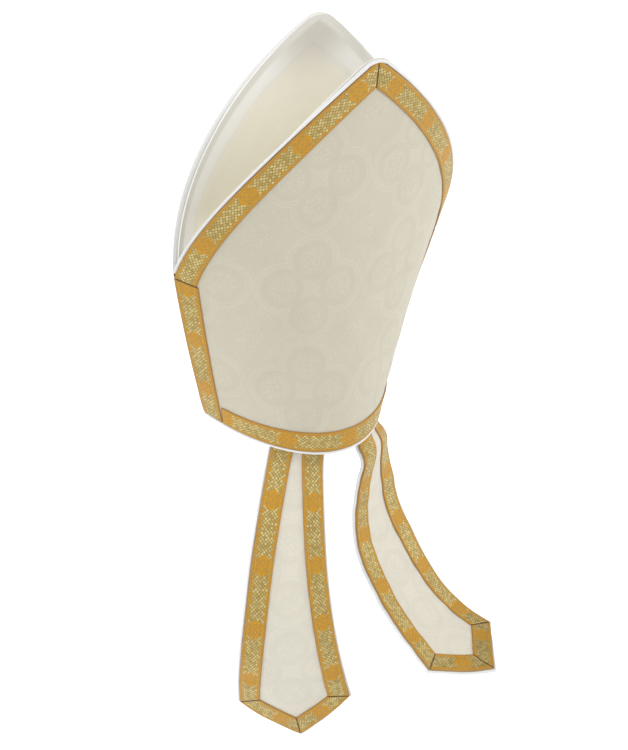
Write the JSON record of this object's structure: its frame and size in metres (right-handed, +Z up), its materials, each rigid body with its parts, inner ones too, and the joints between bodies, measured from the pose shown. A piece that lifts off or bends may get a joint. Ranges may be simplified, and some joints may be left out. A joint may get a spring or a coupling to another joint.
{
  "type": "bishop mitre",
  "caption": "Tall ceremonial hat of two stiff pointed cloth faces edged with gold braid, with a folded gusset between them and hanging lappets at the back.",
  "frame": {"origin": "middle of the opening at the rim, where the hat sits on the head", "axes": "+Z up along the height of the hat, -Y the front, +Y the back with the lappets, +X the wearer's left"},
  "size_m": [0.3127, 0.3584, 0.7042],
  "materials": {
    "damask": "cream tone-on-tone damask over a stiffener",
    "braid": "woven golden-yellow braid with a pale metal-thread lattice",
    "satin": "white satin lining and rolled edging"
  },
  "bodies": {
    "root": {"back_panel": "damask", "back_slant_braid_left": "braid", "back_side_braid_left": "braid", "back_slant_braid_right": "braid", "back_side_braid_right": "braid", "back_rim_braid": "braid", "back_edge_piping": "satin", "back_rim_piping": "satin", "front_panel": "damask", "front_slant_braid_left": "braid", "front_side_braid_left": "braid", "front_slant_braid_right": "braid", "front_side_braid_right": "braid", "front_rim_braid": "braid", "front_edge_piping": "satin", "front_rim_piping": "satin", "gusset": "satin", "lappet_left": "damask", "lappet_left_backing": "satin", "lappet_left_braid_left": "braid", "lappet_left_point_braid_left": "braid", "lappet_left_braid_right": "braid", "lappet_left_point_braid_right": "braid", "lappet_right": "damask", "lappet_right_backing": "satin", "lappet_right_braid_left": "braid", "lappet_right_point_braid_left": "braid", "lappet_right_braid_right": "braid", "lappet_right_point_braid_right": "braid"}
  },
  "joints": []
}
